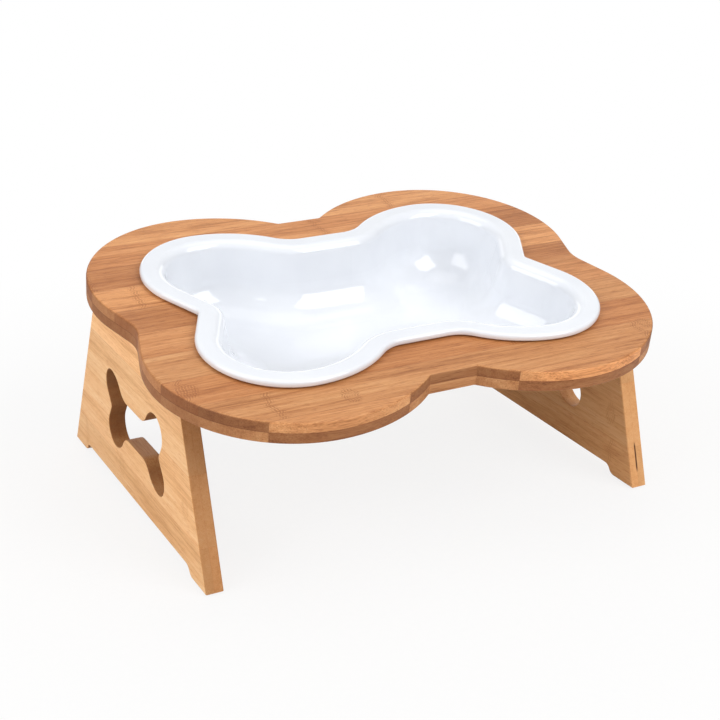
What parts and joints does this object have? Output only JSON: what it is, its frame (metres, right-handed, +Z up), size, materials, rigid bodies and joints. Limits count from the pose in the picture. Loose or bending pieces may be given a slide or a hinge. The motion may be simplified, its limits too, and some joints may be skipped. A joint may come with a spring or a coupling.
{
  "type": "elevated dog bowl",
  "caption": "Raised dog feeder: a bone-shaped glazed ceramic dish hangs by its flat rim in a bone-shaped bamboo tabletop, which leans forward on flat legs with bone cut-outs.",
  "frame": {"origin": "on the floor, under the middle of the whole object", "axes": "+X along the bone from the left leg to the right leg, +Y from the lower front edge of the tabletop to its higher back edge, +Z up"},
  "size_m": [0.352, 0.2916, 0.161],
  "materials": {
    "tabletop_upper_bamboo": "satin",
    "tabletop_lower_bamboo": "satin",
    "leg_bamboo": "satin",
    "dowel_beech": "matte",
    "white_glaze": "gloss",
    "pad_silicone": "matte",
    "dot_silicone": "satin"
  },
  "bodies": {
    "stand": {"tabletop_upper_ply": "tabletop_upper_bamboo", "tabletop_lower_ply": "tabletop_lower_bamboo", "left_leg_outer_ply": "leg_bamboo", "left_leg_inner_ply": "leg_bamboo", "right_leg_inner_ply": "leg_bamboo", "right_leg_outer_ply": "leg_bamboo", "left_leg_dowels": "dowel_beech", "right_leg_dowels": "dowel_beech", "foot_pad_front_left": "pad_silicone", "foot_pad_front_right": "pad_silicone", "foot_pad_rear_left": "pad_silicone", "foot_pad_rear_right": "pad_silicone", "rim_dot_front_left": "dot_silicone", "rim_dot_front_right": "dot_silicone", "rim_dot_rear_left": "dot_silicone", "rim_dot_rear_right": "dot_silicone"},
    "bowl": {"ceramic_bowl": "white_glaze"}
  },
  "joints": [
    {"name": "bowl_lift", "type": "slide", "parent": "stand", "child": "bowl", "axis": [0, -0.1564, 0.9877], "range_m": [0, 0.08]}
  ]
}
